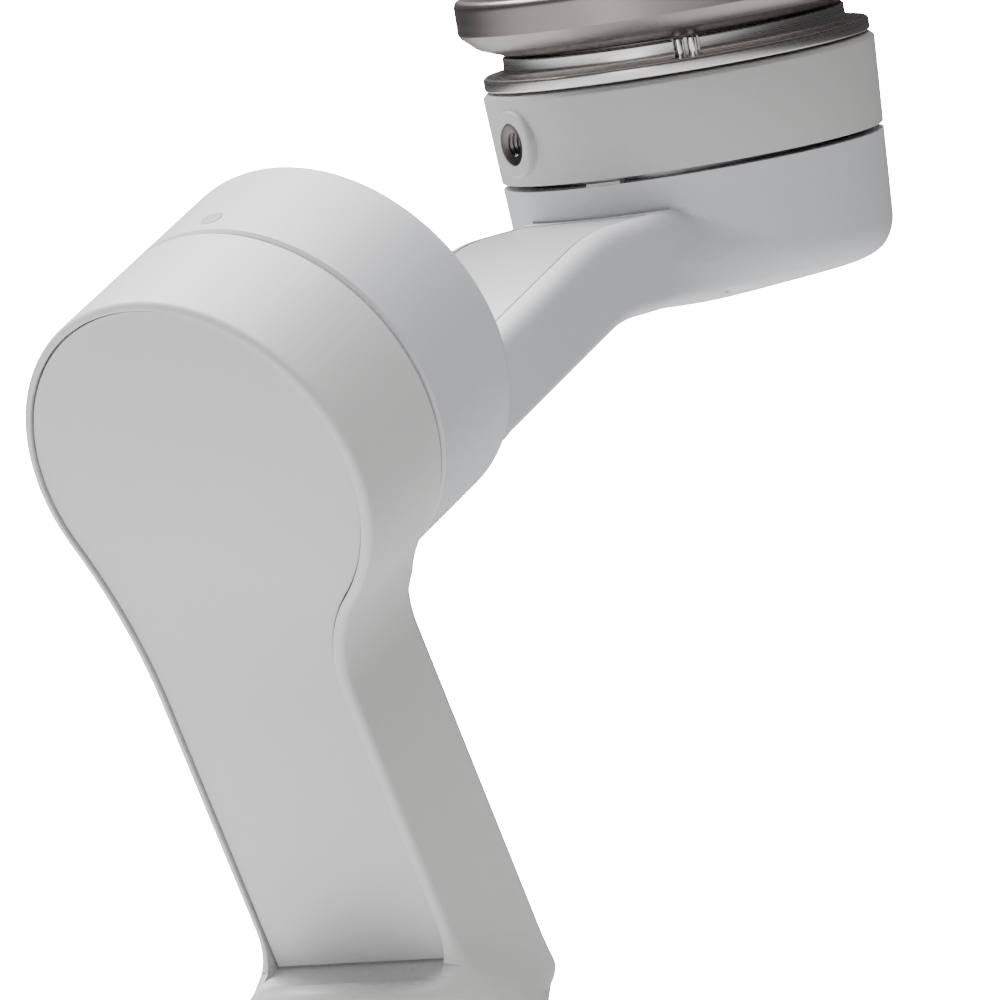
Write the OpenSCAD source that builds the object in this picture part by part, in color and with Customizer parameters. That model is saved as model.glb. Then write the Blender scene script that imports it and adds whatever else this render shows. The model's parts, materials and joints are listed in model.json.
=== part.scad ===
// Three-axis handheld gimbal stabilizer for a phone, all lengths in millimetres.
// Origin: mouth of the tripod thread under the handle. +Z runs up the handle, which is the pan axis.
// +Y faces the person who holds it, -Y is the side that the phone's camera looks to.

/* [Handle] */
// Half the width of the grip's rounded cross-section
grip_r = 17; // [16:0.5:17]
// How far each rounded end of the cross-section sits from the middle, front to back
grip_half_flat = 2.5; // [2.5:0.5:4]
// Thickness of the moulded walls
wall = 2; // [1.8:0.1:2.2]
// Height of the handle up to the pan motor's housing
grip_h = 103; // [103:1:115]

/* [Motors] */
// Radius of the pan motor's housing
pan_r = 20; // [20:0.5:23]
// Radius of the roll motor's housing
roll_r = 27; // [26:0.5:28]
// Radius of the tilt motor's housing at its seam
tilt_r = 27.7; // [27:0.1:28.5]
// Depth of the roll motor's half on each arm
roll_depth = 19.8; // [19.8:0.2:21]
// Width of the dark gap between the two halves of a motor
seam = 0.8; // [0.6:0.1:1]

/* [Arms] */
// Angle of the roll axis above the horizontal
roll_angle = 35; // [33:1:36]
// Angle that the tilt axis leans back from the vertical
tilt_lean = 16; // [14:1:17]
// Half the width of the lower arm
arm_1_half = 16.4; // [16:0.1:17]
// Length of the lower arm's straight part, from the roll axis
arm_1_len = 80; // [79:1:82]
// Half the width of the upper arm
arm_2_half = 14.6; // [14:0.1:15]
// Thickness of the upper arm
arm_2_thick = 13.9; // [13.5:0.1:14.5]

/* [Phone clamp] */
// Opening of the phone clamp with its jaw closed
clamp_gap = 60; // [58:1:66]

/* [Hidden] */
$fn = 96;

// A cut always runs this much past the face it opens
past = 1;

// Places of the three motors. Each motor's own Z axis is its shaft, with Z = 0 at its seam
pan_z = grip_h + 20;
roll_at = [5, -34, pan_z + 91];
tilt_from_roll = [0, 98.4, 46.5];

// Handle
cap_h = 6;
insert_r = 6;
insert_h = 9;
// 1/4"-20 thread, major radius
tripod_thread_r = 3.175;
panel_half = 11;
panel_z = [40, 98];
panel_back = 15.6;
cell_r = 9.2;
cell_h = 65.2;
cell_at = [0, -3.5, 11];
board_y = [8.2, 9.8];
screw_r = 1;
screw_head_r = 1.9;
screw_x = 12.2;
screw_z = [[-1, 24], [1, 24], [-1, 70], [1, 70]];

// Controls on the handle
stick_z = 82;
stick_pivot_y = 12;
stick_hole_r = 7.5;
stick_floor = 0.4;
record_z = 62;
record_r = 4.6;
mode_z = 49;
mode_r = 3.2;
button_gap = 0.2;
power_z = 60;
dial_at = [-12.6, 2.5, 85];
dial_r = 7;
dial_w = 4.6;
trigger_pivot = [0, -14.2, 92];
trigger_w = 12;
pin_r = 1.2;
running = 0.05;

// Motor insides, from the seam down to the base
base_d = 12;
flange_t = 2;
hub_r = 7.4;
hub_foot = 15.2;
bearing_r = 6;
bearing_h = 4;
shaft_r = 3;
shaft_bore_r = 1.6;
ledge_t = 1.7;
stator_teeth = 12;
skirt_end = 9.5;

// Lower arm
neck_fillet_right = 18.5;
neck_fillet_left = 78;
lip = 0.4;
cover_t = 1.3;
cover_inset = 1.5;
cover_gap = 0.12;
cover_end = 76;
// The elbow is this much slimmer than the arm on each side, and this tall over the pan seam
elbow_step = 0.05;
elbow_top = 14;

// Upper arm. Its top and bottom run parallel to the roll axis, then level with the tilt seam
arm_2_top = 8.6;
arm_2_drop = 4.9;
arm_2_bend_r = 20;
arm_2_corner = 3;
label_half = 11;
label_t = 1.2;

// Tilt motor
tilt_taper = 0.058;
tilt_top = 13.5;
cup_depth = arm_2_drop + arm_2_thick;
cup_round = 6;
// The motor's flange is this size, so that it fits the cup's rounded bottom
tilt_base_r = tilt_r - 1.4;
boss_azimuth = -25.3;
boss_z = 6.7;
boss_r = 4.9;
boss_proud = 1.3;
// M4 thread, major radius
m4_r = 2;
ring_z = [13.9, 15.8];
ring_r = 28;
neck_z = 18.3;
neck_r = 24.8;
notch_azimuth = 39;

// Phone clamp, in the tilt motor's frame
plate_z = [18.7, 27.5];
plate_r = 30.5;
post_y = [-24, -18];
post_half = 12;
swivel_z = 71;
swivel_r = 4;
body_y = [-17.6, -7.6];
body_half_h = 13;
jaw_front = 8;
jaw_t = 3.2;
jaw_lip = 3.5;
rod_r = 2;
rod_dz = 8;
pad_t = 1.2;

sa = sin(roll_angle);
ca = cos(roll_angle);
sb = sin(tilt_lean);
cb = cos(tilt_lean);

// Centre of the upper arm's bend, in the side plane through the roll axis, from the roll motor
bend_a = -(arm_2_top + arm_2_thick + arm_2_bend_r);
bend_b = -(cup_depth + arm_2_bend_r) - sb * tilt_from_roll.y + cb * tilt_from_roll.z;
bend_det = ca * sb - sa * cb;
bend_y = (bend_a * cb - bend_b * ca) / bend_det;
bend_z = (bend_a * sb - bend_b * sa) / bend_det;

module at_pan() { translate([0, 0, pan_z]) children(); }
// Roll frame: Z along the roll axis, Y down the lower arm
module at_roll() { translate(roll_at) rotate([roll_angle - 90, 0, 0]) children(); }
module at_tilt() { translate(roll_at + tilt_from_roll) rotate([tilt_lean, 0, 0]) children(); }

module ring(r_out, r_in, z0, z1) {
    translate([0, 0, z0])
        difference() {
            cylinder(r = r_out, h = z1 - z0);
            translate([0, 0, -past]) cylinder(r = r_in, h = z1 - z0 + 2 * past);
        }
}

module disc(r, z0, z1) { translate([0, 0, z0]) cylinder(r = r, h = z1 - z0); }

// A cylinder along Y from y0 to y1
module along_y(r, y0, y1) { translate([0, y1, 0]) rotate([90, 0, 0]) cylinder(r = r, h = y1 - y0); }

// A cylinder along X from x0 to x1
module along_x(r, x0, x1) { translate([x0, 0, 0]) rotate([0, 90, 0]) cylinder(r = r, h = x1 - x0); }

// Rounded cross-section of the grip, shrunk by inset
module grip_2d(inset = 0) {
    for (s = [-1, 1]) translate([0, s * grip_half_flat]) circle(r = grip_r - inset);
    square([2 * (grip_r - inset), 2 * grip_half_flat], center = true);
}

module grip_solid(inset, z0, z1) { translate([0, 0, z0]) linear_extrude(z1 - z0) grip_2d(inset); }

// ---------- Handle ----------

module screw_places(y = 0) {
    for (p = screw_z) translate([p[0] * screw_x, y, p[1]]) children();
}

module handle_half(side) {
    intersection() {
        difference() {
            grip_solid(0, cap_h, grip_h);
            grip_solid(wall, cap_h - past, grip_h + past);
        }
        translate([-50, side > 0 ? 0.1 : -50.1, 0]) cube([100, 50, 200]);
    }
}

module handle_front_shell() {
    color([0.80, 0.80, 0.80])
    difference() {
        union() {
            handle_half(1);
            intersection() {
                screw_places() along_y(2.4, 0.1, 7);
                grip_solid(0.5, cap_h, grip_h);
            }
        }
        screw_places() along_y(screw_r, 0, 5);
        translate([-panel_half - 0.2, panel_back, panel_z[0]])
            cube([2 * panel_half + 0.4, 10, panel_z[1] - panel_z[0]]);
        translate([-panel_half + 2, 8, panel_z[0] + 2])
            cube([2 * panel_half - 4, 10, panel_z[1] - panel_z[0] - 4]);
        // Slot for the zoom dial
        translate([-grip_r - past, dial_at.y - dial_w / 2 - 0.4, dial_at.z - dial_r - 0.6])
            cube([10, dial_w + 0.8, 2 * dial_r + 1.2]);
        // Slot for the power button
        translate([10, 0.1, power_z - 5.2]) cube([10, 4.4, 10.4]);
        // Window for the charging socket
        translate([10, 0.1, 26]) cube([10, 3.4, 9.4]);
    }
}

module handle_rear_shell() {
    color([0.80, 0.80, 0.80])
    difference() {
        union() {
            handle_half(-1);
            intersection() {
                screw_places() along_y(2.4, -15, -0.1);
                grip_solid(0.5, cap_h, grip_h);
            }
            // Ears for the trigger's pin
            for (s = [-1, 1])
                translate([s * 7.7 - 1.2, trigger_pivot.y - 3, trigger_pivot.z - 4]) cube([2.4, 5, 8]);
        }
        screw_places() along_y(screw_r, -10, 1);
        screw_places() along_y(screw_head_r, -30, -9);
        // Slot for the trigger
        translate([-trigger_w / 2 - 0.4, -30, 69]) cube([trigger_w + 0.8, 18, 27.4]);
        translate(trigger_pivot) along_x(pin_r, -9.5, 9.5);
        translate([10, -3.5, 26]) cube([10, 3.4, 9.4]);
        translate([10, -4.5, power_z - 5.2]) cube([10, 4.4, 10.4]);
    }
}

module base_cap() {
    color([0.55, 0.55, 0.56])
    difference() {
        union() {
            grip_solid(0, 1.5, cap_h - 0.2);
            grip_solid(1.5, 0, 2);
            grip_solid(wall + 0.2, cap_h - 0.4, cap_h + 3);
        }
        disc(insert_r, -past, cap_h + 5);
    }
}

module tripod_insert() {
    color([0.80, 0.66, 0.38]) ring(insert_r, tripod_thread_r, 0, insert_h);
}

module battery_cell() {
    color([0.20, 0.32, 0.55])
    translate(cell_at) {
        cylinder(r = cell_r, h = cell_h - 1);
        cylinder(r = 3.2, h = cell_h);
    }
}

module main_board() {
    color([0.10, 0.35, 0.22]) {
        translate([-11.5, board_y[0], 13]) cube([23, board_y[1] - board_y[0], 86]);
        // Switches under the two round buttons, and the chips
        for (z = [record_z, mode_z]) translate([0, 0, z]) along_y(1.8, board_y[1], 13.2);
        translate([-7, board_y[1], 20]) cube([8, 1.2, 8]);
        translate([2.5, board_y[1], 31]) cube([6, 1, 6]);
    }
}

module usb_socket() {
    color([0.75, 0.75, 0.77])
    difference() {
        translate([9.4, -1.6, 26.2]) cube([7.1, 3.2, 9]);
        translate([10.6, -1.2, 26.6]) cube([8, 2.4, 8.2]);
    }
}

module handle_screws() {
    color([0.30, 0.30, 0.32])
    screw_places() {
        along_y(screw_r, -9, 4.8);
        difference() {
            along_y(screw_head_r - 0.1, -10.4, -9);
            along_y(0.8, -11, -9.8);
        }
    }
}

module control_panel() {
    color([0.30, 0.30, 0.31])
    difference() {
        intersection() {
            grip_solid(0, panel_z[0] + 0.15, panel_z[1] - 0.15);
            translate([-panel_half, panel_back, 0]) cube([2 * panel_half, 20, 200]);
        }
        translate([0, 0, stick_z]) along_y(stick_hole_r, 10, 30);
        translate([0, 0, record_z]) along_y(record_r + button_gap, 10, 30);
        translate([0, 0, mode_z]) along_y(mode_r + button_gap, 10, 30);
    }
}

module joystick_base() {
    color([0.16, 0.16, 0.17])
    translate([0, 0, stick_z])
    difference() {
        along_y(7.2, board_y[1], 14.6);
        along_y(5.8, board_y[1] + stick_floor, 15.6);
        translate([0, stick_pivot_y, 0]) along_x(0.85, -8, 8);
    }
}

module joystick_yoke() {
    color([0.45, 0.45, 0.47])
    translate([0, stick_pivot_y, stick_z]) {
        difference() {
            along_y(4.9, -0.75, 0.75);
            along_y(3.4, -2, 2);
            rotate([0, 90, 0]) along_x(0.45, -8, 8);
        }
        for (s = [-1, 1]) translate([s * 5.6, 0, 0]) along_x(0.8, -1.2, 1.2);
    }
}

module joystick_cap() {
    color([0.20, 0.20, 0.21])
    translate([0, stick_pivot_y, stick_z]) {
        along_y(1.9, -1.2, 9.8);
        rotate([0, 90, 0]) along_x(0.4, -4.7, 4.7);
        difference() {
            along_y(6, 9.3, 11.6);
            translate([0, 18.5, 0]) sphere(r = 8);
        }
    }
}

module round_button(r, z) {
    translate([0, 0, z]) {
        along_y(r, 14.6, 20.3);
        along_y(r + 0.9, 14.6, panel_back - 0.1);
    }
}

module record_button() { color([0.72, 0.12, 0.10]) round_button(record_r, record_z); }

module mode_button() { color([0.85, 0.85, 0.85]) round_button(mode_r, mode_z); }

module power_button() {
    color([0.60, 0.60, 0.61]) {
        translate([13.4, -4.1, power_z - 4.9]) cube([4.3, 8.2, 9.8]);
    }
}

module trigger() {
    color([0.30, 0.30, 0.31])
    difference() {
        union() {
            hull() {
                translate(trigger_pivot) along_x(2.4, -trigger_w / 2, trigger_w / 2, $fn = 32);
                translate([0, -21.5, 86]) along_x(2.2, -trigger_w / 2, trigger_w / 2, $fn = 32);
            }
            hull() {
                translate([0, -21.5, 86]) along_x(2.2, -trigger_w / 2, trigger_w / 2, $fn = 32);
                translate([0, -22.2, 73.5]) along_x(2, -trigger_w / 2, trigger_w / 2, $fn = 32);
            }
        }
        translate(trigger_pivot) along_x(pin_r + running, -10, 10);
    }
}

module trigger_pin() { color([0.75, 0.75, 0.77]) translate(trigger_pivot) along_x(pin_r, -8.8, 8.8); }

module zoom_dial() {
    color([0.22, 0.22, 0.23])
    translate(dial_at) {
        difference() {
            along_y(dial_r, -dial_w / 2, dial_w / 2);
            for (i = [0:23])
                rotate([0, i * 15, 0]) translate([dial_r, 0, 0]) along_y(0.35, -5, 5, $fn = 24);
        }
        along_y(1.5, -dial_w / 2 - 1.5, dial_w / 2 + 1.5);
    }
}

// ---------- Motor insides, in the motor's own frame ----------

module motor_base(r) {
    color([0.70, 0.71, 0.73])
    difference() {
        union() {
            disc(r - wall - 0.05, -base_d - flange_t, -base_d);
            disc(hub_r, -hub_foot, -2.2);
        }
        disc(bearing_r - 0.8, -hub_foot - past, 0);
        disc(bearing_r, -2.2 - bearing_h, 0);
        disc(bearing_r, -hub_foot - past, -hub_foot + bearing_h);
    }
}

module motor_stator(r) {
    tip = 0.7 * r;
    color([0.72, 0.42, 0.22]) {
        ring(hub_r + 1.6, hub_r, -9, -3);
        ring(tip, tip - 1.2, -9, -3);
        for (i = [0:stator_teeth - 1])
            rotate([0, 0, i * 360 / stator_teeth]) {
                translate([hub_r + 1, -0.7, -9]) cube([tip - hub_r - 1.6, 1.4, 6]);
                // Copper coil wound on the tooth
                translate([hub_r + 2.2, -0.13 * r / 2, -9.8]) cube([tip - hub_r - 4, 0.13 * r, 7.6]);
            }
    }
}

module motor_bearings() {
    color([0.78, 0.79, 0.81])
    for (z = [-2.2 - bearing_h, -hub_foot]) ring(bearing_r, shaft_r + 0.03, z, z + bearing_h);
}

module motor_sensor_board() {
    color([0.10, 0.35, 0.22]) ring(9, 3.6, -hub_foot - 1.2, -hub_foot);
}

module motor_bell(r) {
    skirt_r = 0.7 * r + 3.2;
    color([0.55, 0.56, 0.58]) {
        ring(skirt_r, skirt_r - 1.1, -skirt_end, 1.2);
        ring(r - wall - 0.05, shaft_r, 1, 2.4);
    }
}

module motor_magnet_ring(r) {
    inner = 0.7 * r + 0.5;
    color([0.40, 0.40, 0.42]) ring(inner + 1.6, inner, -skirt_end, -2.5);
}

module motor_shaft() {
    color([0.75, 0.75, 0.77]) {
        ring(shaft_r, shaft_bore_r, -hub_foot + 0.3, 4);
        ring(6.5, shaft_bore_r, 2.4, 4);
    }
}

// Ledge in the housing that the motor base seats against
module motor_ledge(r) { ring(r - wall + 0.2, r - wall - 1.6, -base_d, -base_d + ledge_t); }

// ---------- Pan motor ----------

module pan_housing() {
    color([0.80, 0.80, 0.80])
    difference() {
        union() {
            at_pan() disc(pan_r, -18, -seam / 2);
            translate([0, 0, grip_h]) cylinder(r1 = pan_r - 1.6, r2 = pan_r, h = 2);
            grip_solid(wall + 0.2, grip_h - 3, grip_h + 1);
        }
        at_pan() {
            disc(pan_r - wall, -base_d, 0);
            disc(pan_r - wall, -18, -base_d + 0.01);
        }
        translate([0, 0, grip_h - 4]) cylinder(r = 7, h = 10);
        grip_solid(2 * wall + 0.2, grip_h - 4, grip_h - 0.2);
    }
    at_pan() color([0.80, 0.80, 0.80]) motor_ledge(pan_r);
}

module pan_motor_base() { at_pan() motor_base(pan_r); }
module pan_stator() { at_pan() motor_stator(pan_r); }
module pan_bearings() { at_pan() motor_bearings(); }
module pan_sensor_board() { at_pan() motor_sensor_board(); }
module pan_bell() { at_pan() motor_bell(pan_r); }
module pan_magnet_ring() { at_pan() motor_magnet_ring(pan_r); }
module pan_shaft() { at_pan() motor_shaft(); }

// ---------- Lower arm ----------

function arc(c, r, from, to, n) =
    [for (i = [0:n]) c + r * [cos(from + (to - from) * i / n), sin(from + (to - from) * i / n)]];

// Outline of the lower arm seen along the roll axis, shrunk by inset and cut off at len.
// In each neck an arc touches both the motor's circle and the arm's side
module arm_1_2d(inset, len) {
    r = roll_r - inset;
    cx = roll_at.x;
    right = neck_centre(r, arm_1_half - inset - cx, neck_fillet_right + inset);
    left = neck_centre(r, arm_1_half - inset + cx, neck_fillet_left + inset);
    right_turn = atan2(right.y, right.x);
    left_turn = atan2(left.y, left.x);
    polygon(concat(
        [[-cx - arm_1_half + inset, len], [-cx + arm_1_half - inset, len]],
        arc(right, neck_fillet_right + inset, 180, 180 + right_turn, 12),
        arc([0, 0], r, right_turn - 1, -180 - left_turn + 1, 72),
        arc([-left.x, left.y], neck_fillet_left + inset, -left_turn, 0, 12)
    ));
}

function neck_centre(r, side, fillet) =
    [side + fillet, sqrt((r + fillet) * (r + fillet) - (side + fillet) * (side + fillet))];

module arm_1_slab(inset, len, z0, z1) {
    translate([0, 0, z0]) linear_extrude(z1 - z0) arm_1_2d(inset, len);
}

// The elbow: from the end of the straight arm to the pan motor's round top
module elbow() {
    side = arm_1_half - elbow_step;
    hull() {
        at_roll()
            translate([-roll_at.x - side, arm_1_len - 6, -roll_depth + elbow_step])
                cube([2 * side, 6, roll_depth - seam / 2 - 2 * elbow_step]);
        at_pan() translate([0, 0, seam / 2]) cylinder(r = pan_r, h = elbow_top, $fn = 64);
    }
}

module arm_1_shell() {
    color([0.80, 0.79, 0.77])
    difference() {
        union() {
            at_roll() arm_1_slab(0, arm_1_len - 2, -roll_depth, -seam / 2);
            elbow();
        }
        at_roll() {
            arm_1_slab(cover_inset - cover_gap, cover_end + cover_gap, -roll_depth - past,
                -roll_depth + lip + cover_t);
            arm_1_slab(wall + 1, cover_end - 2, -roll_depth, -wall - seam / 2);
            disc(roll_r - wall, -base_d - flange_t, past);
        }
        at_pan() {
            disc(pan_r - wall, -past, 11);
            disc(6, 10, 14);
        }
    }
    at_roll() color([0.80, 0.79, 0.77]) intersection() {
        motor_ledge(roll_r);
        arm_1_slab(1, arm_1_len, -roll_depth, -seam / 2);
    }
}

module arm_1_cover() {
    color([0.74, 0.76, 0.78])
    at_roll() arm_1_slab(cover_inset, cover_end, -roll_depth + lip, -roll_depth + lip + cover_t);
}

module roll_motor_base() { at_roll() motor_base(roll_r); }
module roll_stator() { at_roll() motor_stator(roll_r); }
module roll_bearings() { at_roll() motor_bearings(); }
module roll_sensor_board() { at_roll() motor_sensor_board(); }
module roll_bell() { at_roll() motor_bell(roll_r); }
module roll_magnet_ring() { at_roll() motor_magnet_ring(roll_r); }
module roll_shaft() { at_roll() motor_shaft(); }

// ---------- Upper arm ----------

// Cross-section of the upper arm: x across, y from its bottom up
module arm_2_section(inset) {
    c = arm_2_corner - inset / 2;
    w = arm_2_half - inset;
    for (x = [-w + c, w - c], y = [inset + c, arm_2_thick - inset - c]) translate([x, y]) circle(r = c);
    translate([-w + c, inset]) square([2 * (w - c), arm_2_thick - 2 * inset]);
    translate([-w, inset + c]) square([2 * w, arm_2_thick - 2 * (inset + c)]);
}

// Straight, bend, straight: sweeps a cross-section from the roll motor to the tilt axis.
// start is how far along the roll axis it begins, end how far from the tilt axis it stops
module arm_2_sweep(start, end) {
    bend_from_roll = bend_y * ca + bend_z * sa;
    bend_to_tilt = (tilt_from_roll.y - bend_y) * cb + (tilt_from_roll.z - bend_z) * sb;
    translate(roll_at + [0, bend_y, bend_z]) {
        rotate([roll_angle, 0, 0])
            translate([0, 0, arm_2_bend_r]) rotate([90, 0, 0])
                linear_extrude(bend_from_roll - start) children();
        rotate([tilt_lean, 0, 0])
            translate([0, bend_to_tilt - end, arm_2_bend_r]) rotate([90, 0, 0])
                linear_extrude(bend_to_tilt - end) children();
        // The bend turns about X, from the tilt's level up to the roll axis' slope
        rotate([90, 0, 90]) rotate([0, 0, 90 + tilt_lean])
            rotate_extrude(angle = roll_angle - tilt_lean)
                translate([arm_2_bend_r, 0]) mirror([1, 0]) rotate(90) children();
    }
}

// Rounded cup with its rim at z = 0, or at rise where it has to cut through the rim
module tilt_cup(inset, rise = 0) {
    r = tilt_r - inset;
    b = cup_depth - inset;
    k = cup_round - inset / 2;
    r_low = r - tilt_taper * (b - k);
    rotate_extrude() {
        polygon([[0, rise], [r + tilt_taper * rise, rise], [r_low, -b + k], [r_low - k, -b], [0, -b]]);
        intersection() {
            translate([r_low - k, -b + k]) circle(r = k);
            translate([0, -b]) square([r, k]);
        }
    }
}

module arm_2_shell() {
    color([0.82, 0.83, 0.86])
    difference() {
        union() {
            at_roll() disc(roll_r, seam / 2, roll_depth);
            arm_2_sweep(8, 0) arm_2_section(0);
            at_tilt() translate([0, 0, -seam / 2]) tilt_cup(0);
        }
        at_roll() disc(roll_r - wall, -past, roll_depth - wall);
        arm_2_sweep(roll_depth - wall, 10) arm_2_section(wall);
        at_tilt() translate([0, 0, -seam / 2]) tilt_cup(wall, past);
        // Seat and opening under the label cover
        arm_2_sweep(roll_depth + 1, 30)
            translate([-label_half - 0.1, arm_2_thick - label_t]) square([2 * label_half + 0.2, 5]);
        arm_2_sweep(roll_depth + 3, 32)
            translate([-label_half + 1.5, arm_2_thick - 4]) square([2 * label_half - 3, 5]);
        // Seat for the printed alignment mark
        mark_place() cylinder(r = 1.7, h = 2);
    }
    at_tilt() color([0.82, 0.83, 0.86]) translate([0, 0, -seam / 2]) motor_ledge(tilt_r - 0.7);
}

module arm_2_cover() {
    color([0.78, 0.80, 0.83])
    arm_2_sweep(roll_depth + 1.1, 30.1)
        translate([-label_half, arm_2_thick - label_t]) square([2 * label_half, label_t]);
}

// On top of the roll housing, just behind the seam
module mark_place() {
    at_roll() rotate([0, 0, -91]) translate([roll_r - 0.3, 0, 4.2]) rotate([0, 90, 0]) children();
}

module alignment_mark() { color([0.66, 0.67, 0.69]) mark_place() cylinder(r = 1.6, h = 0.3); }

module tilt_motor_base() { at_tilt() translate([0, 0, -seam / 2]) motor_base(tilt_base_r); }
module tilt_stator() { at_tilt() translate([0, 0, -seam / 2]) motor_stator(roll_r); }
module tilt_bearings() { at_tilt() translate([0, 0, -seam / 2]) motor_bearings(); }
module tilt_sensor_board() { at_tilt() translate([0, 0, -seam / 2]) motor_sensor_board(); }

// Small lug in the seam that the rotor's stop runs against
module tilt_stop_lug() {
    color([0.72, 0.72, 0.72])
    at_tilt() rotate([0, 0, 6.5]) translate([-2.7, -tilt_r + 0.2, -seam / 2]) cube([5.4, 1.6, 0.45]);
}

// ---------- Head: the part that the tilt motor turns ----------

module tilt_bell() { at_tilt() translate([0, 0, -seam / 2]) motor_bell(roll_r); }
module tilt_magnet_ring() { at_tilt() translate([0, 0, -seam / 2]) motor_magnet_ring(roll_r); }
module tilt_shaft() { at_tilt() translate([0, 0, -seam / 2]) motor_shaft(); }

module boss_place() {
    rotate([0, 0, boss_azimuth - 90]) translate([tilt_r, 0, boss_z]) rotate([0, 90, 0]) children();
}

module tilt_housing() {
    top_r = tilt_r + tilt_taper * tilt_top;
    color([0.70, 0.69, 0.68])
    at_tilt()
    difference() {
        union() {
            translate([0, 0, seam / 2])
                cylinder(r1 = tilt_r, r2 = top_r, h = tilt_top - 0.6 - seam / 2);
            translate([0, 0, tilt_top - 0.6]) cylinder(r1 = top_r, r2 = top_r - 0.6, h = 0.6);
            boss_place() translate([0, 0, -3]) cylinder(r = boss_r, h = 3 + boss_proud);
        }
        disc(tilt_r - wall - 0.5, -past, tilt_top - 2);
        boss_place() translate([0, 0, -6]) cylinder(r = 3.1, h = 12);
        disc(4, 0, 20);
    }
}

module accessory_insert() {
    color([0.22, 0.22, 0.23])
    at_tilt() boss_place() ring(3.1, m4_r, -5, boss_proud - 0.1);
}

module mount_ring() {
    color([0.74, 0.74, 0.74])
    at_tilt() {
        ring(ring_r, 20, ring_z[0], ring_z[1]);
        ring(24, 20, tilt_top, ring_z[0]);
    }
}

module notch() {
    rotate([0, 0, notch_azimuth - 90]) translate([neck_r - 2.2, -1.9, ring_z[1]]) cube([5, 3.8, 5]);
}

module mount_neck() {
    color([0.62, 0.61, 0.60])
    at_tilt()
    difference() {
        union() {
            disc(neck_r, ring_z[1], neck_z);
            disc(19.9, tilt_top, ring_z[1]);
        }
        notch();
        disc(4, 0, 20);
    }
}

module contact_pins() {
    color([0.85, 0.85, 0.86])
    at_tilt() rotate([0, 0, notch_azimuth - 90])
        for (y = [-0.95, 0.95]) translate([neck_r - 1.1, y, ring_z[1]]) cylinder(r = 0.7, h = 2.6);
}

// ---------- Phone clamp ----------

module clamp_base() {
    color([0.36, 0.35, 0.35])
    at_tilt() rotate_extrude()
        polygon([
            [0, neck_z], [neck_r - 4, neck_z], [neck_r - 4, plate_z[0]], [neck_r, plate_z[0]],
            [neck_r + 3.2, plate_z[0] + 1.4], [plate_r, plate_z[0] + 3.6], [plate_r, plate_z[1] - 1.2],
            [plate_r - 1.2, plate_z[1]], [0, plate_z[1]]
        ]);
}

module clamp_post() {
    color([0.74, 0.74, 0.74])
    at_tilt()
    difference() {
        union() {
            translate([-post_half, post_y[0], plate_z[1]])
                cube([2 * post_half, post_y[1] - post_y[0], swivel_z - plate_z[1]]);
            translate([0, 0, swivel_z]) along_y(post_half, post_y[0], post_y[1]);
            // Foot under the post
            translate([-post_half, post_y[0], plate_z[1]]) cube([2 * post_half, 20, 3]);
        }
        translate([0, 0, swivel_z]) along_y(swivel_r, post_y[0] + 2, post_y[1] + past);
    }
}

module swivel_pin() {
    color([0.75, 0.75, 0.77])
    at_tilt() translate([0, 0, swivel_z]) {
        along_y(swivel_r, post_y[0] + 2, body_y[1] - 3);
        along_y(6, body_y[1] - 3, body_y[1] - 1.4);
    }
}

// L-shaped jaw with a front lip, its gripping face at x = 0 and the phone on its -x side
module jaw_2d() {
    translate([0, body_y[0]]) square([jaw_t, jaw_front - body_y[0]]);
    translate([-jaw_lip, jaw_front - 2.4]) square([jaw_lip + jaw_t, 2.4]);
}

module clamp_body() {
    half = clamp_gap / 2 + pad_t;
    depth = body_y[1] - body_y[0];
    color([0.72, 0.72, 0.72])
    at_tilt()
    difference() {
        union() {
            translate([-half, body_y[0], swivel_z - body_half_h])
                cube([2 * half - 4, depth, 2 * body_half_h]);
            translate([-half, 0, swivel_z - body_half_h]) mirror([1, 0, 0])
                linear_extrude(2 * body_half_h) jaw_2d();
        }
        translate([0, 0, swivel_z]) {
            along_y(swivel_r + running, body_y[0] - past, body_y[1]);
            along_y(6.3, body_y[1] - 3.2, body_y[1] + past);
            for (s = [-1, 1])
                translate([0, (body_y[0] + body_y[1]) / 2, s * rod_dz])
                    along_x(rod_r + running, -half + 2, half);
            // Room for the band spring
            translate([12, body_y[0] + 2, -3.9]) cube([9, depth + past, 7.8]);
        }
    }
}

module clamp_pad() {
    half = clamp_gap / 2 + pad_t;
    color([0.18, 0.18, 0.19])
    at_tilt() {
        translate([-half, body_y[1], swivel_z - 11]) cube([pad_t, jaw_front - 2.4 - body_y[1], 22]);
        for (s = [-1, 1]) translate([s * 17 - 4, body_y[1], swivel_z - 10]) cube([8, pad_t, 20]);
    }
}

module jaw_spring() {
    color([0.65, 0.65, 0.66])
    at_tilt() translate([16.5, 0, swivel_z]) difference() {
        along_y(3.6, body_y[0] + 2.2, body_y[1] - 0.4);
        along_y(2.2, body_y[0], body_y[1] + 1);
    }
}

module sliding_jaw() {
    half = clamp_gap / 2 + pad_t;
    color([0.72, 0.72, 0.72])
    at_tilt() difference() {
        union() {
            translate([half, 0, swivel_z - body_half_h]) linear_extrude(2 * body_half_h) jaw_2d();
            translate([half - 3.7, body_y[0], swivel_z - body_half_h])
                cube([3.7 + jaw_t, body_y[1] - body_y[0], 2 * body_half_h]);
        }
        for (s = [-1, 1])
            translate([0, (body_y[0] + body_y[1]) / 2, swivel_z + s * rod_dz]) along_x(rod_r, 0, half + 2);
    }
}

module jaw_rods() {
    half = clamp_gap / 2 + pad_t;
    color([0.75, 0.75, 0.77])
    at_tilt()
        for (s = [-1, 1])
            translate([0, (body_y[0] + body_y[1]) / 2, swivel_z + s * rod_dz])
                along_x(rod_r, -half + 3, half + 2);
}

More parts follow.
